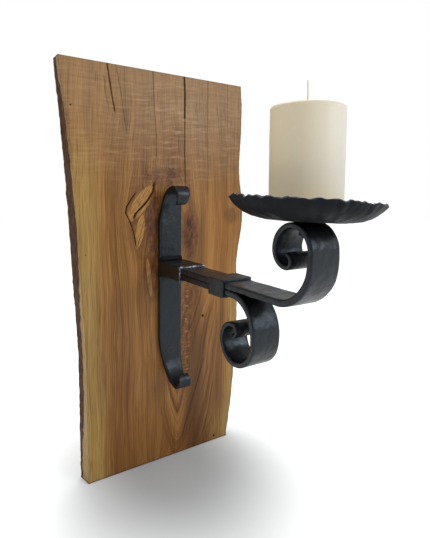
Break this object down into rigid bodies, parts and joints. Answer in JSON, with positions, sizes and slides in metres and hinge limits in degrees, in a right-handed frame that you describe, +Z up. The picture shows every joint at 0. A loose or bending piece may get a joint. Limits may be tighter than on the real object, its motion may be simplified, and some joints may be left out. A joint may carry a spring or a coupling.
{
  "type": "wall sconce candle holder",
  "caption": "Wall sconce: live-edge wooden board with a forged black iron bracket of two scrolled flat bars, a hammered drip pan on a pricket and a pillar candle.",
  "frame": {"origin": "centre of the upper keyhole's round entry, in the wall plane", "axes": "+Z up, +X to the right for someone facing the wall, +Y into the wall, so the arms reach out along -Y"},
  "size_m": [0.2912, 0.3788, 0.57],
  "materials": {
    "elm": "oiled",
    "black_iron": "satin black on hammered iron",
    "black_screw": "satin black",
    "wax": "ivory wax, slightly translucent",
    "cotton": "waxed braid",
    "zinc": "zinc plated",
    "rubber": "matt black"
  },
  "bodies": {
    "sconce": {"board": "elm", "wall_plate": "black_iron", "plate_screws": "black_screw", "root_sleeve": "black_iron", "root_welds": "black_iron", "upper_arm": "black_iron", "lower_arm": "black_iron", "front_collar": "black_iron", "drip_pan": "black_iron", "pricket": "black_iron", "stem_washer": "zinc", "stem_nut": "zinc", "upper_hanger": "zinc", "lower_hanger": "zinc", "hanger_screws": "zinc", "bumpers": "rubber"},
    "candle": {"candle": "wax", "wick": "cotton"}
  },
  "joints": [
    {"name": "candle_lift", "type": "slide", "parent": "sconce", "child": "candle", "axis": [0, 0, 1], "range_m": [0, 0.06]}
  ]
}
